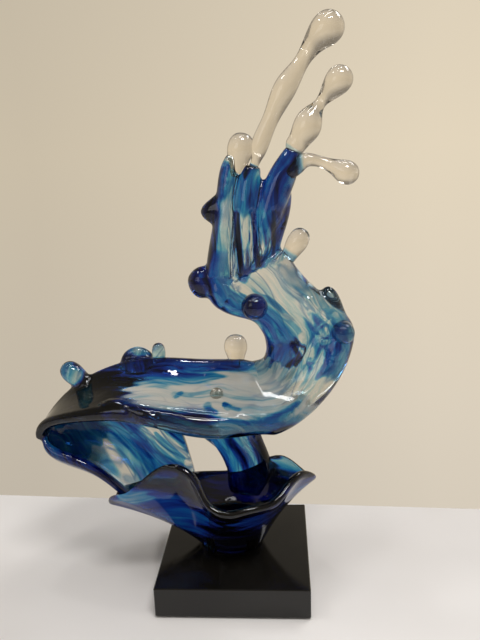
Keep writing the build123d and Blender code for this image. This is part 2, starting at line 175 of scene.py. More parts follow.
@dataclass(frozen=True)
class SwirledGlass(Finish):
    """Clear cast glass with blue swirled through it hot, then fire polished.

    Broad ribbons of dye follow the flow and break into wisps, thin veins cross the clear
    parts, the deepest blue turns violet in patches, and painted shade darkens the rounded
    edges, seen edge on, for the dark refraction there. An opal haze hides what lies behind it.
    A ribbon, a wisp and a vein have a length along the flow and a width across it. Lengths
    are in millimetres.
    """

    stops: tuple[Stop, ...]
    swirl: float = 64.0
    swirl_reach: float = 34.0
    swirl_detail: float = 1.0
    ribbon: Pair = (105.0, 17.0)
    ribbon_detail: float = 2.0
    ribbon_gain: float = 0.2
    wisp: Pair = (50.0, 5.0)
    wisp_detail: float = 3.0
    wisp_gain: float = 0.15
    streak_range: Pair = (0.32, 0.68)
    streak_bend: float = 0.7
    vein: Pair = (80.0, 14.0)
    vein_detail: float = 1.0
    vein_level: float = 0.5
    vein_fade: Pair = (0.006, 0.045)
    vein_gain: float = 0.8
    vein_colour: str = "#1F7FBE"
    violet_patch: Pair = (0.5, 0.68)
    violet_depth: Pair = (0.6, 0.85)
    violet_colour: str = "#8E7FC8"
    # Painted shade on the rounded edges: where the glass is seen edge on, its colour is darkened
    # towards this tint.
    rim_shade_start: float = 0.74
    rim_shade_end: float = 0.95
    rim_shade_blend: float = 0.5
    rim_shade_colour: str = "#1B2140"
    opal_colour: str = "#B9B3A8"
    ripple: float = 16.0
    ripple_detail: float = 2.0
    ripple_range: Pair = (0.3, 0.7)
    ripple_depth: float = 2.0
    ripple_strength: float = 0.12
    roughness: Pair = (0.01, 0.05)
    ior: float = 1.5

    def surface(self, tree: Tree) -> Socket:
        """Build the swirled glass.

        Args:
            tree: The material's node tree.

        Returns:
            The shader.
        """
        flow = add_node(tree, "ShaderNodeAttribute", attribute_name="flow").outputs["Vector"]
        haze = add_node(tree, "ShaderNodeAttribute", attribute_name="haze").outputs["Fac"]
        clear = add_node(
            tree, "ShaderNodeMapRange", {"Value": haze, "To Min": 1.0, "To Max": 0.0}
        ).outputs["Result"]
        swirl = add_node(
            tree,
            "ShaderNodeTexNoise",
            {"Vector": flow, "Scale": 1 / (self.swirl * MM), "Detail": self.swirl_detail},
        ).outputs
        course = add_node(
            tree,
            "ShaderNodeVectorMath",
            {0: swirl["Color"], 1: (self.swirl_reach * MM,) * 3, 2: flow},
            operation="MULTIPLY_ADD",
        ).outputs["Vector"]
        amount = self.streaked(tree, course)
        colour = add_node(
            tree, "ShaderNodeValToRGB", {"Fac": amount}, stops=self.stops
        ).outputs["Color"]
        for share, tint in (
            (self.veins(tree, course, clear), self.vein_colour),
            (self.violet(tree, swirl["Fac"], amount), self.violet_colour),
            (haze, self.opal_colour),
            # Painted shade: the last tint darkens the colour where the glass is seen edge on.
            (self.painted_rim_shade(tree), self.rim_shade_colour),
        ):
            colour = add_node(
                tree,
                "ShaderNodeMix",
                {MIX_SHARE: share, MIX_FIRST: colour, MIX_SECOND: to_linear(tint)},
                data_type="RGBA",
                blend_type="MULTIPLY",
            ).outputs[MIX_RESULT]
        ripple = add_node(
            tree,
            "ShaderNodeTexNoise",
            {"Vector": flow, "Scale": 1 / (self.ripple * MM), "Detail": self.ripple_detail},
        ).outputs["Fac"]
        rough = add_node(
            tree,
            "ShaderNodeMapRange",
            {
                "Value": ripple,
                "From Min": self.ripple_range[0],
                "From Max": self.ripple_range[1],
                "To Min": self.roughness[0],
                "To Max": self.roughness[1],
            },
        ).outputs["Result"]
        bump = add_node(
            tree,
            "ShaderNodeBump",
            {
                "Height": ripple,
                "Strength": self.ripple_strength,
                "Distance": self.ripple_depth * MM,
            },
        ).outputs["Normal"]
        return add_node(
            tree,
            "ShaderNodeBsdfPrincipled",
            {
                "Base Color": colour,
                "Roughness": rough,
                "Normal": bump,
                "IOR": self.ior,
                "Transmission Weight": clear,
            },
        ).outputs["BSDF"]

    def drawn_out(self, tree: Tree, course: Socket, size: Pair, detail: float) -> Socket:
        """Make a cloudy pattern drawn out along the flow.

        Args:
            tree: The material's node tree.
            course: The swirled flow coordinates.
            size: The pattern's length and width in millimetres.
            detail: How many finer layers the pattern has.

        Returns:
            The pattern, from 0 to 1.
        """
        length, width = (1 / (part * MM) for part in size)
        place = add_node(
            tree,
            "ShaderNodeVectorMath",
            {0: course, 1: (length, width, length)},
            operation="MULTIPLY",
        ).outputs["Vector"]
        return add_node(
            tree,
            "ShaderNodeTexNoise",
            {"Vector": place, "Scale": 1.0, "Detail": detail, "Distortion": self.streak_bend},
        ).outputs["Fac"]

    def streaked(self, tree: Tree, course: Socket) -> Socket:
        """Break the dye into ribbons and wisps.

        Args:
            tree: The material's node tree.
            course: The swirled flow coordinates.

        Returns:
            How much dye there is, from 0, clear, to 1, blue black.
        """
        amount = add_node(tree, "ShaderNodeAttribute", attribute_name="dye").outputs["Fac"]
        for size, detail, gain in (
            (self.ribbon, self.ribbon_detail, self.ribbon_gain),
            (self.wisp, self.wisp_detail, self.wisp_gain),
        ):
            streak = add_node(
                tree,
                "ShaderNodeMapRange",
                {
                    "Value": self.drawn_out(tree, course, size, detail),
                    "From Min": self.streak_range[0],
                    "From Max": self.streak_range[1],
                    "To Min": -gain,
                    "To Max": gain,
                },
            ).outputs["Result"]
            amount = add_node(
                tree, "ShaderNodeMath", {0: amount, 1: streak}, operation="ADD"
            ).outputs["Value"]
        return amount

    def veins(self, tree: Tree, course: Socket, clear: Socket) -> Socket:
        """Find thin veins along one contour of a drawn out pattern.

        Args:
            tree: The material's node tree.
            course: The swirled flow coordinates.
            clear: How clear the glass is, 0 under full haze.

        Returns:
            How strong the vein is, 0 away from it.
        """
        cloud = self.drawn_out(tree, course, self.vein, self.vein_detail)
        away = add_node(
            tree, "ShaderNodeMath", {0: cloud, 1: self.vein_level}, operation="SUBTRACT"
        ).outputs["Value"]
        away = add_node(tree, "ShaderNodeMath", {0: away}, operation="ABSOLUTE").outputs["Value"]
        vein = add_node(
            tree,
            "ShaderNodeMapRange",
            {
                "Value": away,
                "From Min": self.vein_fade[0],
                "From Max": self.vein_fade[1],
                "To Min": self.vein_gain,
                "To Max": 0.0,
            },
        ).outputs["Result"]
        return add_node(
            tree, "ShaderNodeMath", {0: vein, 1: clear}, operation="MULTIPLY"
        ).outputs["Value"]

    def violet(self, tree: Tree, cloud: Socket, amount: Socket) -> Socket:
        """Find the broad patches where the deep blue turns towards violet.

        Args:
            tree: The material's node tree.
            cloud: A broad cloudy pattern.
            amount: How much dye there is.

        Returns:
            How violet the glass is, from 0 to 1.
        """
        patch, deep = (
            add_node(
                tree, "ShaderNodeMapRange", {"Value": value, "From Min": low, "From Max": high}
            ).outputs["Result"]
            for value, (low, high) in ((cloud, self.violet_patch), (amount, self.violet_depth))
        )
        return add_node(
            tree, "ShaderNodeMath", {0: patch, 1: deep}, operation="MULTIPLY"
        ).outputs["Value"]

    def painted_rim_shade(self, tree: Tree) -> Socket:
        """Find where the glass is seen edge on, for painted shade on its rounded edges.

        Args:
            tree: The material's node tree.

        Returns:
            How much painted shade a place takes, from 0 to 1.
        """
        facing = add_node(tree, "ShaderNodeLayerWeight", {"Blend": self.rim_shade_blend})
        return add_node(
            tree,
            "ShaderNodeMapRange",
            {
                "Value": facing.outputs["Facing"],
                "From Min": self.rim_shade_start,
                "From Max": self.rim_shade_end,
            },
        ).outputs["Result"]


@dataclass(frozen=True)
class PolishedAcrylic(Finish):
    """Black acrylic, machined and polished: deep, even gloss with faint wiping marks."""

    dark: str = "#0C0B0A"
    light: str = "#15130F"
    smear: float = 40.0
    smear_detail: float = 6.0
    smear_grain: float = 0.65
    smear_range: Pair = (0.3, 0.7)
    roughness: Pair = (0.05, 0.14)
    ior: float = 1.49

    def surface(self, tree: Tree) -> Socket:
        """Build the black acrylic.

        Args:
            tree: The material's node tree.

        Returns:
            The shader.
        """
        place = add_node(tree, "ShaderNodeTexCoord").outputs["Object"]
        smear = add_node(
            tree,
            "ShaderNodeTexNoise",
            {
                "Vector": place,
                "Scale": 1 / (self.smear * MM),
                "Detail": self.smear_detail,
                "Roughness": self.smear_grain,
            },
        ).outputs["Fac"]
        rough = add_node(
            tree,
            "ShaderNodeMapRange",
            {
                "Value": smear,
                "From Min": self.smear_range[0],
                "From Max": self.smear_range[1],
                "To Min": self.roughness[0],
                "To Max": self.roughness[1],
            },
        ).outputs["Result"]
        colour = add_node(
            tree,
            "ShaderNodeValToRGB",
            {"Fac": smear},
            stops=((0.3, self.dark), (0.75, self.light)),
        ).outputs["Color"]
        return add_node(
            tree,
            "ShaderNodeBsdfPrincipled",
            {"Base Color": colour, "Roughness": rough, "IOR": self.ior},
        ).outputs["BSDF"]


@dataclass(frozen=True)
class WoolFelt(Finish):
    """Pressed wool felt: short tangled fibres that scatter light softly.

    A wool fibre is about 0.03 mm thick and too fine to show, so tufts of fibre are drawn.
    """

    dark: str = "#121213"
    light: str = "#2C2C2E"
    tuft: float = 1.2
    tuft_detail: float = 4.0
    tuft_grain: float = 0.7
    tuft_tangle: float = 1.5
    nap: float = 0.3
    nap_strength: float = 0.6
    roughness: float = 0.95
    sheen: float = 0.3

    def surface(self, tree: Tree) -> Socket:
        """Build the felt.

        Args:
            tree: The material's node tree.

        Returns:
            The shader.
        """
        place = add_node(tree, "ShaderNodeTexCoord").outputs["Object"]
        tuft = add_node(
            tree,
            "ShaderNodeTexNoise",
            {
                "Vector": place,
                "Scale": 1 / (self.tuft * MM),
                "Detail": self.tuft_detail,
                "Roughness": self.tuft_grain,
                "Distortion": self.tuft_tangle,
            },
        ).outputs["Fac"]
        colour = add_node(
            tree,
            "ShaderNodeValToRGB",
            {"Fac": tuft},
            stops=((0.3, self.dark), (0.7, self.light)),
        ).outputs["Color"]
        bump = add_node(
            tree,
            "ShaderNodeBump",
            {"Height": tuft, "Strength": self.nap_strength, "Distance": self.nap * MM},
        ).outputs["Normal"]
        return add_node(
            tree,
            "ShaderNodeBsdfPrincipled",
            {
                "Base Color": colour,
                "Roughness": self.roughness,
                "Normal": bump,
                "Sheen Weight": self.sheen,
            },
        ).outputs["BSDF"]


@dataclass(frozen=True)
class TurnedMetal(Finish):
    """Turned metal: fine rings left by the tool, with a slightly uneven tone.

    Real rings are a tenth of a millimetre apart and too fine to show, so coarser ones are
    drawn. The tone's size is in millimetres, and the ring's in millimetres for each radian.
    """

    dark: str
    light: str
    tone: float = 4.8
    tone_detail: float = 3.0
    ring: float = 0.6
    ring_wander: float = 0.5
    roughness: float = 0.3
    rough_swing: float = 0.08

    def surface(self, tree: Tree) -> Socket:
        """Build the metal.

        Args:
            tree: The material's node tree.

        Returns:
            The shader.
        """
        place = add_node(tree, "ShaderNodeTexCoord").outputs["Object"]
        tone = add_node(
            tree,
            "ShaderNodeTexNoise",
            {"Vector": place, "Scale": 1 / (self.tone * MM), "Detail": self.tone_detail},
        ).outputs["Fac"]
        colour = add_node(
            tree,
            "ShaderNodeValToRGB",
            {"Fac": tone},
            stops=((0.3, self.dark), (0.7, self.light)),
        ).outputs["Color"]
        rings = add_node(
            tree,
            "ShaderNodeTexWave",
            {
                "Vector": place,
                "Scale": 1 / (self.ring * WAVE_TURN * MM),
                "Distortion": self.ring_wander,
            },
            wave_type="RINGS",
            rings_direction="Z",
        ).outputs["Fac"]
        rough = add_node(
            tree,
            "ShaderNodeMapRange",
            {
                "Value": rings,
                "To Min": self.roughness - self.rough_swing,
                "To Max": self.roughness + self.rough_swing,
            },
        ).outputs["Result"]
        return add_node(
            tree,
            "ShaderNodeBsdfPrincipled",
            {"Base Color": colour, "Roughness": rough, "Metallic": 1.0},
        ).outputs["BSDF"]


@dataclass(frozen=True)
class PaintedBoard(Finish):
    """White painted board under the sculpture: matt, with a faint cloudy tone."""

    dark: str = "#E4DED9"
    light: str = "#ECE7E3"
    cloud: float = 1000 / 3
    cloud_detail: float = 3.0
    roughness: float = 0.6

    def surface(self, tree: Tree) -> Socket:
        """Build the board.

        Args:
            tree: The material's node tree.

        Returns:
            The shader.
        """
        place = add_node(tree, "ShaderNodeTexCoord").outputs["Object"]
        cloud = add_node(
            tree,
            "ShaderNodeTexNoise",
            {"Vector": place, "Scale": 1 / (self.cloud * MM), "Detail": self.cloud_detail},
        ).outputs["Fac"]
        colour = add_node(
            tree,
            "ShaderNodeValToRGB",
            {"Fac": cloud},
            stops=((0.35, self.dark), (0.65, self.light)),
        ).outputs["Color"]
        return add_node(
            tree, "ShaderNodeBsdfPrincipled", {"Base Color": colour, "Roughness": self.roughness}
        ).outputs["BSDF"]


BLUE_STOPS = (
    (0.0, "#ECECE8"),
    (0.18, "#D8E2E3"),
    (0.32, "#9FC9D6"),
    (0.46, "#3F9CC8"),
    (0.6, "#1767B4"),
    (0.74, "#173FA0"),
    (0.88, "#12195A"),
    (1.0, "#04050C"),
)
CLEAR_STOPS = (
    (0.0, "#F3EDE3"),
    (0.3, "#EAE3D8"),
    (0.55, "#9CCBE0"),
    (0.8, "#2F6FB0"),
    (1.0, "#0B0F2C"),
)
# Fire polished glass: small sharp highlights over colour that seems to hang inside it.
BLUE_GLASS = SwirledGlass("cast_glass_blue_swirl_fire_polished", stops=BLUE_STOPS)
# The same glass with so much dye that it looks nearly even, and a blue painted edge shade.
NAVY_GLASS = SwirledGlass(
    "cast_glass_navy_swirl_fire_polished",
    stops=BLUE_STOPS,
    ribbon_gain=0.12,
    wisp_gain=0.08,
    vein_gain=0.3,
    rim_shade_colour="#2A3270",
    opal_colour="#E4E2EE",
)
# Clear glass: it shows what is behind it upside down, inside a broad grey rim that is partly
# its own refraction and partly painted shade.
CLEAR_GLASS = SwirledGlass(
    "cast_glass_clear_fire_polished",
    stops=CLEAR_STOPS,
    ribbon_gain=0.04,
    wisp_gain=0.05,
    vein_gain=0.0,
    rim_shade_colour="#4A443A",
    rim_shade_start=0.5,
)
GLASS_FINISHES = {
    Slot.BLUE_GLASS: BLUE_GLASS,
    Slot.NAVY_GLASS: NAVY_GLASS,
    Slot.CLEAR_GLASS: CLEAR_GLASS,
}
# Polished acrylic: a black mirror with slightly soft reflections.
BLACK_ACRYLIC = PolishedAcrylic("acrylic_black_polished")
# Pressed felt: dull black with no highlight.
BLACK_FELT = WoolFelt("wool_felt_black_pressed")
# Zinc plate: pale grey with soft highlights.
ZINC_STEEL = TurnedMetal("steel_zinc_plated_turned", "#A9ACB0", "#C9CCD0")
# Machined brass: warm yellow, a little brighter than the steel.
BRASS = TurnedMetal("brass_machined", "#B98E3C", "#D9B35E", roughness=0.25)
# Painted board: matt off white that takes a soft shadow.
BOARD = PaintedBoard("board_white_painted")


# A vertex pair nearer than this, in millimetres, is welded before the nodes are grown.
WELD_GAP = 0.001
# How far one pass of the polish moves a vertex towards its neighbours' mean.
POLISH_FACTOR = 0.5
# The places of the face and the distance in what a search for the nearest point returns.
NEAREST_FACE, NEAREST_GAP = 2, 3


@dataclass(frozen=True)
class Wobble:
    """An uneven wave over the flow: a sine whose phase swings with a second sine.

    The two lengths are millimetres for each radian.
    """

    height: float
    length: float
    swing: float
    swing_length: float

    def at(
        self, main: np.ndarray, other: np.ndarray, phase: np.ndarray | float = 0.0
    ) -> np.ndarray:
        """Return the wave at lengths along its run and along its swing, with an added phase."""
        swing = self.swing * np.sin(other / self.swing_length)
        return self.height * np.sin(main / self.length + swing + phase)


# The ripple of the fire polished skin. The second wave also turns through the thickness, by a
# radian over the depth in millimetres.
SWELL_ALONG = Wobble(0.6, 19.0, 1.3, 13.0)
SWELL_ACROSS = Wobble(0.4, 6.5, 0.8, 31.0)
SWELL_DEPTH = 20.0
# How a run of colour wanders, along and across the flow, and how its ends fray into threads.
# Only a run whose reach is over the start wanders or frays, in full from a fade further on.
DRIFT_ALONG = Wobble(4.0, 6.0, 1.7, 21.0)
DRIFT_ACROSS = Wobble(2.6, 15.0, 1.3, 8.0)
DRIFT_START, DRIFT_FADE = 5.0, 10.0
FINE_FRAY = Wobble(1.0, 1.7, 2.0, 40.0)
COARSE_FRAY = Wobble(0.7, 3.1, -1.1, 27.0)
FRAY_START, FRAY_FADE = 4.0, 3.0


@dataclass(frozen=True)
class Run:
    """A run of colour or of raised glass, placed along and across the flow.

    Places and reach are in millimetres. The amount is a dye from 0, clear, to 1, blue black,
    or over 1 where no streak may lighten it, and some dark runs are painted shade rather than
    dye. It may also be a haze from 0 to 1, or a height in millimetres. The cover starts from
    the edge at the run's middle line, falls by the slope over one reach and is cut to between
    0 and 1.
    """

    start: Pair
    end: Pair
    reach: float
    amount: float
    edge: float = 2.2
    slope: float = 1.7

    def breadth(self, start: float, fade: float) -> float:
        """Say how broad the run is, from 0 at a reach of start to 1 a fade further on."""
        return min(max(self.reach - start, 0) / fade, 1)

    def cover(self, places: np.ndarray) -> np.ndarray:
        """Say how far the run covers each place.

        Args:
            places: Lengths along and across the flow in millimetres.

        Returns:
            One share from 0 to 1 for each place.
        """
        start = np.array(self.start, float)
        course = np.array(self.end, float) - start
        share = np.clip((places - start) @ course / (course @ course), 0, 1)
        gap = np.linalg.norm(places - start - share[:, None] * course, axis=1)
        soft = np.clip(self.edge - self.slope * gap / self.reach, 0, 1)
        return soft * soft * (3 - 2 * soft)


@dataclass(frozen=True)
class Flow:
    """The course of the glass, as pairs of points on its inner and outer edge."""

    edges: tuple[tuple[Point, Point], ...]
    samples: int = 160
    block: int = 20000

    def coordinates(self, points: np.ndarray) -> np.ndarray:
        """Measure each point along, across and off the course.

        Args:
            points: Places in millimetres.

        Returns:
            Three lengths in metres for each point.
        """
        inner, outer = (np.array(side, float) for side in zip(*self.edges))
        places = np.linspace(0, len(inner) - 1, self.samples)
        whole = np.minimum(places.astype(int), len(inner) - 2)
        part = (places - whole)[:, None]
        inner = inner[whole] * (1 - part) + inner[whole + 1] * part
        outer = outer[whole] * (1 - part) + outer[whole + 1] * part
        centre = (inner + outer) / 2
        tangent = np.gradient(centre, axis=0)
        steps = np.linalg.norm(np.diff(centre, axis=0), axis=1)
        length = np.concatenate([[0], np.cumsum(steps)])
        tangent /= np.linalg.norm(tangent, axis=1)[:, None]
        across = outer - inner
        across -= (across * tangent).sum(1)[:, None] * tangent
        across /= np.linalg.norm(across, axis=1)[:, None]
        off = np.cross(tangent, across)
        result = np.empty_like(points)
        for first in range(0, len(points), self.block):
            rows = slice(first, first + self.block)
            near = ((points[rows, None] - centre[None]) ** 2).sum(2).argmin(1)
            away = points[rows] - centre[near]
            result[rows, 0] = length[near] + (away * tangent[near]).sum(1)
            result[rows, 1] = (away * across[near]).sum(1)
            result[rows, 2] = (away * off[near]).sum(1)
        return result * MM


def points_of(mesh: bpy.types.Mesh) -> np.ndarray:
    """Read a mesh's vertices.

    Args:
        mesh: The mesh.

    Returns:
        The vertices' places in millimetres.
    """
    flat = np.empty(len(mesh.vertices) * 3, np.float32)
    mesh.vertices.foreach_get("co", flat)
    return flat.reshape(-1, 3).astype(float) / MM


def normals_of(mesh: bpy.types.Mesh) -> np.ndarray:
    """Read a mesh's vertex normals.

    Args:
        mesh: The mesh.

    Returns:
        One normal for each vertex, of length 1.
    """
    flat = np.empty(len(mesh.vertices) * 3, np.float32)
    mesh.vertex_normals.foreach_get("vector", flat)
    return flat.reshape(-1, 3).astype(float)


def set_points(mesh: bpy.types.Mesh, points: np.ndarray) -> None:
    """Move a mesh's vertices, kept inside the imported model's box.

    Args:
        mesh: The mesh.
        points: The vertices' new places in millimetres.
    """
    low, high = (np.array(corner) / MM for corner in CAD_BOX)
    inside = np.clip(points, low, high) * MM
    mesh.vertices.foreach_set("co", inside.astype(np.float32).ravel())
    mesh.update()


def joined(nodes: tuple[str, ...], grown: float = 0.0) -> tuple[bmesh.types.BMesh, np.ndarray]:
    """Lay CAD nodes together in one mesh.

    Args:
        nodes: The CAD nodes' names.
        grown: How far each node's skin is moved outward, in millimetres.

    Returns:
        The mesh, and for each of its faces the place of its node in the list.
    """
    mesh = bmesh.new()
    owners = []
    for place, node in enumerate(nodes):
        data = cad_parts[node].data
        mesh.from_mesh(data)
        owners.append(np.full(len(data.polygons), place))
    if grown:
        bmesh.ops.remove_doubles(mesh, verts=mesh.verts, dist=WELD_GAP * MM)
        mesh.normal_update()
        for vertex in mesh.verts:
            vertex.co += vertex.normal * grown * MM
    return mesh, np.concatenate(owners)


def fused(
    name: str, nodes: tuple[str, ...], voxel: float, soften: int, grown: float
) -> bpy.types.Object:
    """Melt CAD nodes together into one smooth skin.

    Args:
        name: The new piece's name.
        nodes: The CAD nodes that are melted together.
        voxel: The skin's mesh size in millimetres.
        soften: How many times the skin is smoothed.
        grown: How far the nodes are grown to close the gaps between them, in millimetres.

    Returns:
        The new piece, linked to the scene.
    """
    solids, _ = joined(nodes, grown)
    mesh = bpy.data.meshes.new(name + "_joined")
    solids.to_mesh(mesh)
    solids.free()
    piece = bpy.data.objects.new(name, mesh)
    bpy.context.scene.collection.objects.link(piece)
    melt = piece.modifiers.new("melt", "REMESH")
    melt.mode = "VOXEL"
    melt.voxel_size = voxel * MM
    polish = piece.modifiers.new("polish", "SMOOTH")
    polish.factor = POLISH_FACTOR
    polish.iterations = soften
    graph = bpy.context.evaluated_depsgraph_get()
    skin = bpy.data.meshes.new_from_object(piece.evaluated_get(graph))
    piece.modifiers.clear()
    piece.data = skin
    skin.name = name
    bpy.data.meshes.remove(mesh)
    skin.polygons.foreach_set("use_smooth", [True] * len(skin.polygons))
    set_points(skin, points_of(skin) - normals_of(skin) * grown)
    return piece


def blurred(mesh: bpy.types.Mesh, values: np.ndarray, times: int) -> np.ndarray:
    """Spread values softly over a mesh.

    Args:
        mesh: The mesh that carries the values.
        values: One value for each vertex.
        times: How many times each value is set half way to its neighbours' mean.

    Returns:
        The softened values.
    """
    edges = np.empty(len(mesh.edges) * 2, np.int32)
    mesh.edges.foreach_get("vertices", edges)
    first, second = edges.reshape(-1, 2).T
    count = np.bincount(edges, minlength=len(values))
    for _ in range(times):
        total = np.bincount(first, values[second], len(values))
        total += np.bincount(second, values[first], len(values))
        values = (values + total / np.maximum(count, 1)) / 2
    return values


@dataclass(frozen=True)
class Region:
    """A stretch of a glass body with its own flow, colour and working.

    The ripple and the ridges are heights in millimetres, and the ridges are worked on the
    front only. The fray is how far the threads at a run's ends are drawn out, in millimetres.
    The lean says how far the colour runs back through each millimetre of thickness, up to the
    place along the flow where it ends. The lip is the part that lies further off the course
    than its start, with a dye and a haze of its own.
    """

    nodes: tuple[str, ...]
    flow: Flow
    dye: float
    runs: tuple[Run, ...] = ()
    haze: tuple[Run, ...] = ()
    ridges: tuple[Run, ...] = ()
    ripple: float = 0.0
    fray: float = 5.0
    lean: float = 0.0
    lean_end: float = 290.0
    lean_fade: float = 40.0
    lip_start: float = math.inf
    lip_fade: float = 5.0
    lip_dye: float = 0.0
    lip_haze: float = 0.0

    def heights(self, flow: np.ndarray) -> np.ndarray:
        """Work out how far the glass is raised or pressed in.

        Args:
            flow: Lengths along, across and off the course in millimetres.

        Returns:
            One height in millimetres for each place.
        """
        along, across, off = flow.T
        height = np.zeros(len(flow))
        for ridge in self.ridges:
            height += ridge.amount * ridge.cover(flow[:, :2])
        height[off > 0] = 0
        swell = SWELL_ALONG.at(along, across)
        swell += SWELL_ACROSS.at(across, along, off / SWELL_DEPTH)
        return height + swell * self.ripple

    def laid(self, runs: tuple[Run, ...], amount: float, flow: np.ndarray) -> np.ndarray:
        """Lay runs over an even amount of dye or haze.

        Args:
            runs: The runs, in the order they are laid.
            amount: The amount beneath them.
            flow: Lengths along, across and off the course in millimetres.

        Returns:
            One amount for each place.
        """
        along, across, off = flow.T
        leaning = self.lean * np.clip((self.lean_end - along) / self.lean_fade, 0, 1)
        across = across + leaning * off
        places = np.stack([along, across], axis=1)
        drift = np.stack([DRIFT_ALONG.at(across, along), DRIFT_ACROSS.at(along, across)], axis=1)
        fray = np.zeros_like(drift)
        fray[:, 0] = FINE_FRAY.at(across, along) + COARSE_FRAY.at(across, along)
        amounts = np.full(len(flow), amount)
        for run in runs:
            loose = run.breadth(DRIFT_START, DRIFT_FADE)
            ragged = self.fray * run.breadth(FRAY_START, FRAY_FADE)
            amounts += (run.amount - amounts) * run.cover(places + drift * loose + fray * ragged)
        return amounts

    def lipped(self, amounts: np.ndarray, amount: float, flow: np.ndarray) -> np.ndarray:
        """Return the amounts of dye or haze with the lip's own amount laid over the lip."""
        cover = np.clip((flow[:, 2] - self.lip_start) / self.lip_fade, 0, 1)
        return amounts + (amount - amounts) * cover


@dataclass
class GlassPiece:
    """One piece of glass: its regions, its skin and its colour."""

    name: str
    slot: Slot
    regions: tuple[Region, ...]
    voxel: float = 1.3
    soften: int = 6
    swell: float = 0.4
    grown: float = 1.0
    height_blur: int = 2
    dye_blur: int = 8
    piece: bpy.types.Object | None = field(default=None, init=False)

    @property
    def nodes(self) -> tuple[str, ...]:
        """Return the CAD nodes of all the regions, in order."""
        return sum((region.nodes for region in self.regions), ())

    def build(self) -> None:
        """Make the piece, work it, colour it and set it on its body."""
        nodes = self.nodes
        self.piece = fused(self.name, nodes, self.voxel, self.soften, self.grown)
        mesh = self.piece.data
        owners = self.owners(points_of(mesh))
        self.shape(owners)
        self.colour(owners)
        mesh.materials.clear()
        mesh.materials.append(GLASS_FINISHES[self.slot].material())
        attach(self.piece, BODY)
        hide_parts(*nodes)
        log.info("%s: %d vertices for %s", self.name, len(mesh.vertices), ", ".join(nodes))

    def owners(self, points: np.ndarray) -> np.ndarray:
        """Find the region whose CAD nodes lie nearest to each vertex.

        Args:
            points: The vertices in millimetres.

        Returns:
            The place of each vertex's region in the list.
        """
        if len(self.regions) == 1:
            return np.zeros(len(points), int)
        regions = np.repeat(range(len(self.regions)), [len(r.nodes) for r in self.regions])
        solids, faces = joined(self.nodes)
        tree = BVHTree.FromBMesh(solids)
        nearest = np.array([tree.find_nearest(Vector(p) * MM)[NEAREST_FACE] for p in points])
        solids.free()
        return regions[faces[nearest]]

    def shape(self, owners: np.ndarray) -> None:
        """Swell the skin and work it, region by region.

        Args:
            owners: The place of each vertex's region in the list.
        """
        mesh = self.piece.data
        points = points_of(mesh)
        heights = np.full(len(points), self.swell)
        for place, region in enumerate(self.regions):
            mine = owners == place
            heights[mine] += region.heights(region.flow.coordinates(points[mine]) / MM)
        heights = blurred(mesh, heights, self.height_blur)
        set_points(mesh, points + normals_of(mesh) * heights[:, None])

    def colour(self, owners: np.ndarray) -> None:
        """Lay the dye, the haze and the flow on the skin, region by region.

        Args:
            owners: The place of each vertex's region in the list.
        """
        mesh = self.piece.data
        points = points_of(mesh)
        flow = np.empty_like(points)
        dye, haze = np.empty((2, len(points)))
        for place, region in enumerate(self.regions):
            mine = owners == place
            flow[mine] = region.flow.coordinates(points[mine])
            course = flow[mine] / MM
            laid = region.laid(region.runs, region.dye, course)
            dye[mine] = region.lipped(laid, region.lip_dye, course)
            laid = region.laid(region.haze, 0.0, course)
            haze[mine] = region.lipped(laid, region.lip_haze, course)
        border = blurred(mesh, owners.astype(float), self.dye_blur) != owners
        dye = np.where(border, blurred(mesh, dye, self.dye_blur), dye)
        self.lay("dye", "FLOAT", "value", dye)
        self.lay("haze", "FLOAT", "value", haze)
        self.lay("flow", "FLOAT_VECTOR", "vector", flow)

    def lay(self, name: str, kind: str, key: str, values: np.ndarray) -> None:
        """Store values on the skin's vertices, by Blender's names for their type and property."""
        layer = self.piece.data.attributes.new(name, kind, "POINT")
        layer.data.foreach_set(key, values.astype(np.float32).ravel())


@dataclass
class Drop(GlassPiece):
    """A finger, drop or bead that was laid on hot and melted into the wave.

    Its seat is the part within the seat gap of the host, or within the seat spread times its
    smallest gap. The seat's dye is gone at the fade, and the fade edge says how sharply. The
    sink is how far the seat is pressed in. Lengths are in millimetres.
    """

    voxel: float = 0.7
    soften: int = 8
    swell: float = 0.15
    grown: float = 0.0
    seat_gap: float = 1.2
    seat_spread: float = 1.5
    seat_dye: float = 0.3
    fade: float = 14.0
    fade_edge: float = 2.5
    sink: float = 2.5
    host: str = "wave_glass"

    def seat(self, points: np.ndarray) -> tuple[np.ndarray, np.ndarray]:
        """Find the way to the seat and how far each vertex is from it.

        Args:
            points: The vertices in millimetres.

        Returns:
            The direction of the seat, and each vertex's distance from its end in millimetres.
        """
        graph = bpy.context.evaluated_depsgraph_get()
        tree = BVHTree.FromObject(bpy.data.objects[self.host], graph)
        gaps = np.array([tree.find_nearest(Vector(p) * MM)[NEAREST_GAP] for p in points])
        near = gaps < max(gaps.min() * self.seat_spread, self.seat_gap * MM)
        axis = points[near].mean(0) - points.mean(0)
        axis /= np.linalg.norm(axis)
        reach = points @ axis
        return axis, reach.max() - reach

    def shape(self, owners: np.ndarray) -> None:
        """Press the seat into the glass that carries it.

        Args:
            owners: The place of each vertex's region in the list.
        """
        super().shape(owners)
        points = points_of(self.piece.data)
        axis, away = self.seat(points)
        share = 1 - away / away.max()
        set_points(self.piece.data, points + axis * self.sink * share[:, None] ** 2)

    def colour(self, owners: np.ndarray) -> None:
        """Let the wave's colour run into the seat.

        Args:
            owners: The place of each vertex's region in the list.
        """
        points = points_of(self.piece.data)
        region = self.regions[0]
        _, away = self.seat(points)
        share = np.clip(self.fade_edge - self.fade_edge * away / self.fade, 0, 1)
        self.lay("dye", "FLOAT", "value", region.dye + (self.seat_dye - region.dye) * share)
        self.lay("flow", "FLOAT_VECTOR", "vector", region.flow.coordinates(points))


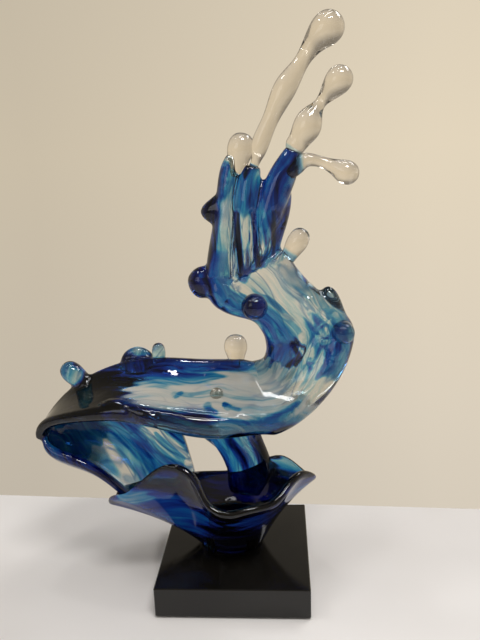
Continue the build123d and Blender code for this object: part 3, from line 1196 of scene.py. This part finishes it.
WAVE_FLOW = Flow(
    (
        ((-215, 8, 160), (-220, -14, 148)),
        ((-190, 8, 172), (-195, -14, 160)),
        ((-140, 33, 212), (-142, -32, 188)),
        ((-95, 38, 223), (-98, -40, 192)),
        ((-50, 38, 223), (-50, -45, 184)),
        ((-8, 35, 223), (0, -41, 176)),
        ((22, 27, 223), (42, -38, 177)),
        ((34, 18, 231), (74, -28, 190)),
        ((37, 9, 241), (98, -19, 211)),
        ((37, 3, 253), (115, -11, 240)),
        ((35, 0, 263), (121, -4, 262)),
        ((18, 0, 280), (90, 0, 302)),
        ((-18, 0, 303), (56, 0, 343)),
        ((-8, 0, 350), (56, 0, 372)),
        ((0, 0, 400), (62, 0, 412)),
        ((10, 0, 460), (80, 0, 460)),
    )
)
BOWL_FLOW = Flow((((-130, -20, 150), (-130, -20, 30)), ((90, -20, 150), (90, -20, 30))))
BARREL_FLOW = Flow((((-200, -10, 190), (-160, -10, 230)), ((-60, -10, 40), (-20, -10, 80))))
STEM_FLOW = Flow((((-66, 24, 215), (18, 24, 215)), ((-6, 34, 75), (42, 34, 75))))
UPRIGHT_FLOW = Flow((((0, 0, 150), (40, 0, 150)), ((60, 0, 560), (100, 0, 560))))


@dataclass
class PlinthSet:
    """The black block with its felt pad and the fixings inside it.

    The fuzz pulls the pad's edge in and lifts its lower rim, in millimetres. The edge and the
    rim start at a share of the pad's half width. The turns are radians for each millimetre.
    """

    pad_rows: int = 48
    fuzz: float = 0.25
    fuzz_edge: float = 0.995
    fuzz_turns: Pair = (1.7, 1.9)
    fuzz_phase: float = 1.0
    lift: float = 0.1
    lift_rim: float = 0.97

    def build(self) -> None:
        """Dress the block and the fixings, and make the felt pad."""
        for node, finish in (
            ("plinth", BLACK_ACRYLIC),
            ("mounting_bolts", ZINC_STEEL),
            ("bolt_washers", ZINC_STEEL),
            ("threaded_inserts", BRASS),
        ):
            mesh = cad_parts[node].data
            mesh.materials.clear()
            mesh.materials.append(finish.material())
            log.info("%s: %s", node, finish.name)
        self.pad()

    def pad(self) -> None:
        """Make the felt pad as a slab with a soft, slightly uneven edge."""
        low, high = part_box("base_pad")
        size = high - low
        work = bmesh.new()
        bmesh.ops.create_grid(
            work, x_segments=self.pad_rows, y_segments=self.pad_rows, size=size.x / 2
        )
        bmesh.ops.translate(work, verts=work.verts, vec=(0, 0, high.z))
        bmesh.ops.solidify(work, geom=work.faces[:], thickness=size.z)
        bmesh.ops.recalc_face_normals(work, faces=work.faces)
        mesh = bpy.data.meshes.new("felt_pad")
        work.to_mesh(mesh)
        work.free()
        points = points_of(mesh)
        half = size.x / 2 / MM
        edge = np.abs(points[:, :2]).max(1) / half
        turn_x, turn_y = self.fuzz_turns
        fuzz = np.sin(points[:, 0] * turn_x) * np.sin(points[:, 1] * turn_y + self.fuzz_phase)
        pull = 1 - (edge > self.fuzz_edge) * self.fuzz * (1 + fuzz) / half
        points[:, :2] *= pull[:, None]
        middle = (low.z + high.z) / 2 / MM
        points[:, 2] = np.clip(points[:, 2], low.z / MM, high.z / MM)
        points[:, 2] += (points[:, 2] < middle) * self.lift * (1 + fuzz) * (edge > self.lift_rim)
        set_points(mesh, points)
        pad = bpy.data.objects.new("felt_pad", mesh)
        bpy.context.scene.collection.objects.link(pad)
        mesh.materials.append(BLACK_FELT.material())
        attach(pad, BODY)
        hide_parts("base_pad")
        log.info("felt_pad: %d vertices", len(mesh.vertices))


# Runs of dye and haze are laid in the order given, so that a later one covers an earlier one.
# Ridges add up.
DECK_RUNS = (
    Run((10, 0), (86, 0), 44, 1.25),
    Run((104, -38), (140, -38), 12, 0.9),
    Run((226, -34), (246, -34), 9, 0.4),
    Run((126, -36), (226, -33), 12, 0.7),
    Run((124, -10), (160, -8), 13, 0.6),
    Run((160, -14), (205, -20), 11, 0.56),
    Run((205, -22), (226, -26), 9, 0.6),
    Run((148, 12), (186, 8), 15, 0.02),
    Run((186, 6), (262, 4), 16, 0.08),
    Run((238, -16), (275, -10), 16, 0.14),
    Run((250, 14), (300, 18), 20, 0.2),
    Run((178, 5), (194, 3), 3.4, 0.26),
    Run((180, 8), (184, 2), 2.4, 0.44),
    Run((194, 3), (212, -3), 2.6, 0.34),
    Run((211, 15), (213, 20), 4.5, 0.5),
    Run((213, 19), (220, 22), 2.6, 0.6),
    Run((229, 12), (233, 15), 4, 0.6),
    Run((233, 15), (243, 17), 2.6, 0.46),
    Run((118, 39), (220, 39), 11, 0.8),
    Run((262, 35), (296, 33), 9, 0.42),
    Run((240, 37), (266, 35), 9, 0.56),
    Run((218, 38), (244, 37), 9, 0.66),
    Run((140, 48), (222, 47), 7, 0.62),
    Run((236, 45), (286, 43), 6, 0.56),
)
DECK_HAZE = (
    Run((228, 36), (288, 33), 11, 0.4),
    Run((228, 20), (274, 20), 12, 0.7),
    Run((240, -8), (284, -12), 22, 0.5),
    Run((152, 4), (176, 2), 18, 0.7),
    Run((176, -6), (232, -6), 27, 0.86),
)
CURL_RUNS = (
    Run((400, 10), (330, 10), 34, 0.22),
    Run((424, -30), (410, -24), 12, 0.56),
    Run((406, -18), (386, -15), 10, 0.52),
    Run((386, -17), (362, -21), 10, 0.54),
    Run((362, -20), (312, -21), 9, 0.54),
    Run((425, -42), (385, -36), 6, 0.92),
    Run((385, -34), (295, -33), 5.5, 0.84),
    Run((392, 4), (340, -6), 7, 0.16),
    Run((380, 16), (360, 14), 8, 0.12),
    Run((396, 24), (366, 30), 5, 0.42),
    Run((346, 12), (342, 26), 13, 0.54),
    Run((340, 28), (335, 30), 6, 0.74),
    Run((345, 14), (346, 17), 4, 0.16),
    Run((326, 34), (320, 38), 8, 0.54),
    Run((318, 8), (314, 12), 5, 0.68),
    Run((314, 12), (300, 20), 4, 0.5),
    Run((300, 28), (312, 24), 12, 0.16),
    Run((332, 28), (322, 25), 6, 0.6),
    Run((338, -14), (326, -4), 2.6, 0.95),
    Run((326, -4), (312, -8), 2.6, 0.95),
    # The next two runs are painted shade: a near black outline along the curl's outer lower edge,
    # for the total internal reflection at that rounded edge.
    Run((244, 47), (290, 45), 6, 1.3),
    Run((290, 45), (352, 46), 6, 1.3),
    Run((352, 44), (372, 40), 5, 0.7),
)
STREAM_RUNS = (
    Run((432, -34), (486, -34), 6, 0.94),
    Run((425, -30), (445, -24), 6, 0.6),
    Run((420, -15), (446, -16), 8, 0.04),
    Run((455, -20), (482, -20), 7, 0.36),
    Run((500, -32), (520, -30), 5, 0.84),
    Run((506, -23), (520, -21), 3.5, 0.1),
    Run((496, -24), (520, -22), 3, 0.5),
    Run((430, -1), (482, -7), 10, 0.24),
    Run((494, -6), (518, -8), 11, 0.52),
    Run((526, -9), (534, -9), 6, 0.9),
    Run((446, 12), (476, 9), 7, 0.12),
    Run((490, 9), (540, 20), 13, 0.86),
    Run((478, 12), (490, 10), 8, 0.64),
    Run((474, 26), (504, 30), 12, 0.74),
    Run((464, 30), (444, 14), 5, 0.66),
    Run((444, 14), (430, -3), 4, 0.7),
    Run((424, 10), (402, 28), 10, 0.2),
    Run((430, 20), (416, 26), 4, 0.4),
    # The next three runs are painted shade: blue black lines in the grooves between the streams,
    # which the ridges below press in.
    Run((486, -13), (434, -3), 2.6, 1.0),
    Run((488, 2), (442, 11), 2.6, 1.0),
    Run((492, 20), (452, 24), 2.2, 0.95),
)
WAVE_RIDGES = (
    Run((112, 27), (228, 26), 4, 0.6),
    Run((112, 27), (244, 26), 4, 0.5),
    Run((112, 27), (262, 25), 4, 0.4),
    Run((118, 24), (164, 44), 4, 1.4),
    Run((486, -13), (434, -3), 4, -1.6),
    Run((488, 2), (442, 11), 4, -1.6),
    Run((492, 20), (452, 24), 4, -1.2),
    Run((400, -6), (330, -8), 6, 1.6),
    Run((372, 22), (330, 6), 5, 1.4),
    Run((344, 20), (338, 26), 7, 1.8),
)
FOOT_RUNS = (
    Run((100, 66), (108, 50), 7, 0.6),
    Run((124, 72), (150, 70), 8, 0.86),
)
RUFFLE_RUNS = (
    Run((110, 20), (150, 52), 26, 0.95),
    Run((34, -14), (84, 12), 24, 0.74),
    Run((22, -20), (40, -18), 9, 0.54),
    Run((52, -40), (76, -36), 5, 0.5),
    Run((66, -30), (92, -4), 5, 0.8),
    Run((96, -24), (112, 0), 9, 0.9),
    Run((150, 6), (178, -4), 12, 0.78),
    Run((188, -16), (204, -14), 11, 0.68),
)
RUFFLE_HAZE = (
    Run((30, -12), (90, 10), 26, 0.8),
    Run((146, 10), (180, -6), 14, 0.5),
    Run((188, -14), (204, -14), 12, 0.7),
)
REAR_RUNS = (
    Run((178, -18), (206, -20), 9, 0.34),
    Run((22, -18), (48, -12), 12, 0.5),
)
BARREL_RUNS = (
    Run((20, -36), (66, -37), 22, 0.58),
    Run((44, -46), (130, -45), 12, 0.66),
    Run((84, -27), (142, -24), 6, 0.03),
    Run((64, -13), (150, -10), 7, 0.48),
    Run((60, 0), (124, 2), 8, 0.78),
    Run((104, 9), (150, 11), 6, 0.4),
    Run((110, 17), (178, 20), 8, 0.08),
    Run((118, 13), (160, 16), 2.4, 0.5),
)
BARREL_HAZE = (
    Run((16, -36), (64, -38), 22, 0.6),
    Run((40, -47), (130, -47), 9, 0.85),
)
STEM_RUNS = (
    Run((20, -30), (70, -18), 10, 0.56),
    Run((60, -8), (134, 6), 4, 0.86),
    Run((50, 2), (120, 12), 4, 0.46),
    Run((60, 20), (140, 24), 6, 0.9),
)
TIP_RUNS = (Run((46, -204), (40, -191), 10, 0.3),)
FIN_RUNS = (
    Run((66, -130), (66, -112), 6, 0.46),
    Run((77, -146), (77, -109), 12, 0.2),
)
STEM_RIDGES = (
    Run((40, -24), (140, -10), 4, 1.5),
    Run((40, -6), (140, 2), 4, 1.5),
    Run((40, 12), (140, 14), 4, 1.5),
)


@dataclass
class Glasswork:
    """All the glass, from the foot to the fingers' heads."""

    def wave(self) -> GlassPiece:
        """Describe the body of the wave, with its barrel, its stem and its lobes.

        Returns:
            The piece, before it is built.
        """
        streams = ("left_stream", "centre_stream", "right_stream", "outer_stream")
        ribbon = Region(
            ("crest_deck", "rising_curl") + streams,
            WAVE_FLOW,
            dye=0.22,
            runs=DECK_RUNS + CURL_RUNS + STREAM_RUNS,
            haze=DECK_HAZE,
            ridges=WAVE_RIDGES,
            ripple=0.4,
            lean=0.5,
        )
        barrel = Region(
            ("barrel_shell",),
            BARREL_FLOW,
            dye=0.64,
            runs=BARREL_RUNS,
            haze=BARREL_HAZE,
            ripple=0.3,
            lip_start=4.0,
            lip_dye=0.7,
            lip_haze=0.75,
        )
        stem = Region(("rear_stem",), STEM_FLOW, dye=0.6, runs=STEM_RUNS, ridges=STEM_RIDGES)
        dark_lobes = Region(("neck_bead", "left_lobe"), WAVE_FLOW, dye=0.9)
        tip = Region(("left_tip_drop",), UPRIGHT_FLOW, dye=1.3, runs=TIP_RUNS, fray=0.0)
        fin = Region(("back_fin",), UPRIGHT_FLOW, dye=0.84, runs=FIN_RUNS, fray=0.0)
        horn = Region(("horn",), WAVE_FLOW, dye=0.22)
        regions = (ribbon, barrel, stem, dark_lobes, tip, fin, horn)
        return GlassPiece("wave_glass", Slot.BLUE_GLASS, regions, voxel=1.6)

    def bowl(self) -> GlassPiece:
        """Describe the foot and the ruffled bowl.

        Returns:
            The piece, before it is built.
        """
        foot = Region(("foot",), BOWL_FLOW, dye=0.94, runs=FOOT_RUNS)
        front = Region(
            ("front_ruffle",), BOWL_FLOW, dye=0.84, runs=RUFFLE_RUNS, haze=RUFFLE_HAZE
        )
        rear = Region(("rear_bowl",), BOWL_FLOW, dye=0.97, runs=REAR_RUNS)
        return GlassPiece("bowl_glass", Slot.NAVY_GLASS, (foot, front, rear))

    def drops(self) -> list[GlassPiece]:
        """Describe the fingers, drops and beads.

        A row gives a node, its slot, its dye, its seat's dye and how far that runs.

        Returns:
            The pieces, before they are built.
        """
        clear, blue, navy = Slot.CLEAR_GLASS, Slot.BLUE_GLASS, Slot.NAVY_GLASS
        rows = (
            ("tall_finger", clear, 0.04, 0.7, 7),
            ("middle_finger", clear, 0.04, 0.6, 7),
            ("short_finger", clear, 0.04, 1.0, 17),
            ("top_left_bead", clear, 0.05, 0.3, 5),
            ("deck_drop", clear, 0.06, 0.5, 7),
            ("deck_inset_bead", clear, 0.1, 0.3, 4),
            ("curl_drop", clear, 0.05, 0.66, 14),
            ("fin_bead", blue, 0.2, 0.8, 9),
            ("right_bead", blue, 0.4, 0.5, 6),
            ("inner_bead", navy, 0.56, 0.8, 10),
        )
        return [
            Drop(
                node + "_glass",
                slot,
                (Region((node,), UPRIGHT_FLOW, dye),),
                seat_dye=seat_dye,
                fade=fade,
            )
            for node, slot, dye, seat_dye, fade in rows
        ]

    def build(self) -> None:
        """Make every piece of glass."""
        for piece in [self.wave(), self.bowl()] + self.drops():
            piece.build()


@dataclass(frozen=True)
class Lamp:
    """A rectangular lamp, with its place and sides in millimetres and its power in watts."""

    name: str
    place: Point
    sides: Pair
    power: float

    def hang(self, aim: Vector) -> None:
        """Hang the lamp so that it faces a point.

        Args:
            aim: The point, in metres.
        """
        light = bpy.data.lights.new(self.name, "AREA")
        light.shape = "RECTANGLE"
        light.size, light.size_y = (side * MM for side in self.sides)
        light.energy = self.power
        lamp = bpy.data.objects.new(self.name, light)
        lamp.location = Vector(self.place) * MM
        lamp.rotation_euler = (aim - lamp.location).to_track_quat("-Z", "Y").to_euler()
        bpy.context.scene.collection.objects.link(lamp)


LAMPS = (
    Lamp("ceiling_tube", (60, -80, 1500), (900, 90), 4.0),
    Lamp("front_tube", (330, -640, 1500), (500, 200), 9.5),
    Lamp("front_window", (-900, -1300, 900), (700, 700), 2.0),
    Lamp("rear_tube", (650, 450, 1200), (600, 200), 3.5),
    Lamp("ceiling_spot", (-228, 160, 1500), (60, 90), 0.8),
    Lamp("left_tube", (-790, -170, 1500), (320, 130), 2.0),
)
# The wall's colours from straight below to straight above.
WALL_STOPS = (
    (0.0, "#B9B2A8"),
    (0.32, "#CFC4B2"),
    (0.5, "#D6C9B2"),
    (0.66, "#CFC3AE"),
    (0.8, "#8E877B"),
    (1.0, "#6A655C"),
)


@dataclass
class Studio:
    """The board, the pale wall around it, the lamps and the camera.

    The room is what lies behind the camera, and it comes in between two values of a
    direction's Y part. The glow brightens the wall from left to right, between two values of
    its X part. Places and the sensor are in millimetres, turns in degrees, and the focal length
    and the frame's height in the photograph's pixels.
    """

    floor_corners: tuple[Pair, ...] = (
        (-1500, -1700),
        (1500, -1700),
        (1500, 54),
        (-1500, 213),
    )
    room_colour: str = "#8C857A"
    room_spread: Pair = (0.2, -0.5)
    glow: Pair = (0.88, 1.14)
    glow_spread: Pair = (-0.36, 0.22)
    fill_colour: str = "#E9E6E0"
    fill_strength: float = 0.32
    aim: Point = (-20, 0, 220)
    eye: Point = (52.2, -584.9, 434.6)
    yaw: float = -3.91
    pitch: float = 15.05
    roll: float = 2.06
    focal: float = 633.0
    frame_height: float = 640.0
    sensor: float = 36.0

    def build(self) -> None:
        """Set up the board, the world, the lamps and the camera."""
        self.board()
        self.world()
        self.lamps()
        self.camera()

    def board(self) -> None:
        """Lay the board that the sculpture stands on."""
        mesh = bpy.data.meshes.new("board")
        corners = [(x * MM, y * MM, 0.0) for x, y in self.floor_corners]
        mesh.from_pydata(corners, [], [(0, 1, 2, 3)])
        mesh.materials.append(BOARD.material())
        board = bpy.data.objects.new("board", mesh)
        bpy.context.scene.collection.objects.link(board)

    def world(self) -> None:
        """Surround the sculpture with a pale wall that also lights it softly."""
        world = bpy.data.worlds.new("pale_wall")
        world.use_nodes = True
        tree = world.node_tree
        tree.nodes.clear()
        place = add_node(tree, "ShaderNodeTexCoord").outputs["Generated"]
        place = add_node(tree, "ShaderNodeSeparateXYZ", {"Vector": place}).outputs
        height = add_node(
            tree, "ShaderNodeMapRange", {"Value": place["Z"], "From Min": -1.0}
        ).outputs["Result"]
        wall = add_node(
            tree, "ShaderNodeValToRGB", {"Fac": height}, stops=WALL_STOPS
        ).outputs["Color"]
        room = add_node(
            tree,
            "ShaderNodeMapRange",
            {
                "Value": place["Y"],
                "From Min": self.room_spread[0],
                "From Max": self.room_spread[1],
            },
        ).outputs["Result"]
        wall = add_node(
            tree,
            "ShaderNodeMix",
            {MIX_SHARE: room, MIX_FIRST: wall, MIX_SECOND: to_linear(self.room_colour)},
            data_type="RGBA",
        ).outputs[MIX_RESULT]
        glow = add_node(
            tree,
            "ShaderNodeMapRange",
            {
                "Value": place["X"],
                "From Min": self.glow_spread[0],
                "From Max": self.glow_spread[1],
                "To Min": self.glow[0],
                "To Max": self.glow[1],
            },
        ).outputs["Result"]
        full = add_node(tree, "ShaderNodeBackground", {"Color": wall, "Strength": glow})
        dim = add_node(
            tree,
            "ShaderNodeBackground",
            {"Color": to_linear(self.fill_colour), "Strength": self.fill_strength},
        )
        # The camera, mirrors and clear glass see the wall, and all else only the dim fill.
        path = add_node(tree, "ShaderNodeLightPath").outputs
        seen = path["Is Camera Ray"]
        for ray in ("Is Glossy Ray", "Is Transmission Ray"):
            seen = add_node(
                tree, "ShaderNodeMath", {0: seen, 1: path[ray]}, operation="MAXIMUM"
            ).outputs["Value"]
        both = add_node(
            tree,
            "ShaderNodeMixShader",
            {0: seen, 1: dim.outputs["Background"], 2: full.outputs["Background"]},
        )
        add_node(tree, "ShaderNodeOutputWorld", {"Surface": both.outputs["Shader"]})
        bpy.context.scene.world = world

    def lamps(self) -> None:
        """Hang every lamp, turned towards the glass."""
        for lamp in LAMPS:
            lamp.hang(Vector(self.aim) * MM)

    def camera(self) -> None:
        """Stand the camera where the photograph was taken."""
        yaw, pitch, roll = (math.radians(a) for a in (self.yaw, self.pitch, self.roll))
        ahead = Vector(
            (math.sin(yaw) * math.cos(pitch), math.cos(yaw) * math.cos(pitch), -math.sin(pitch))
        )
        level = Vector((math.cos(yaw), -math.sin(yaw), 0))
        down = ahead.cross(level)
        right = level * math.cos(roll) + down * math.sin(roll)
        up = level * math.sin(roll) - down * math.cos(roll)
        turn = Matrix((right, up, -ahead)).transposed()
        lens = bpy.data.cameras.new("camera")
        lens.sensor_width = self.sensor
        lens.lens = self.focal / self.frame_height * self.sensor
        camera = bpy.data.objects.new("camera", lens)
        camera.matrix_world = Matrix.Translation(Vector(self.eye) * MM) @ turn.to_4x4()
        bpy.context.scene.collection.objects.link(camera)
        bpy.context.scene.camera = camera


def main() -> None:
    """Build the sculpture and its studio."""
    logging.basicConfig(level=logging.INFO, format="%(message)s")
    bpy.context.scene.view_settings.view_transform = "Standard"
    PlinthSet().build()
    Glasswork().build()
    Studio().build()
    bpy.context.view_layer.update()


if __name__ == "__main__":
    main()
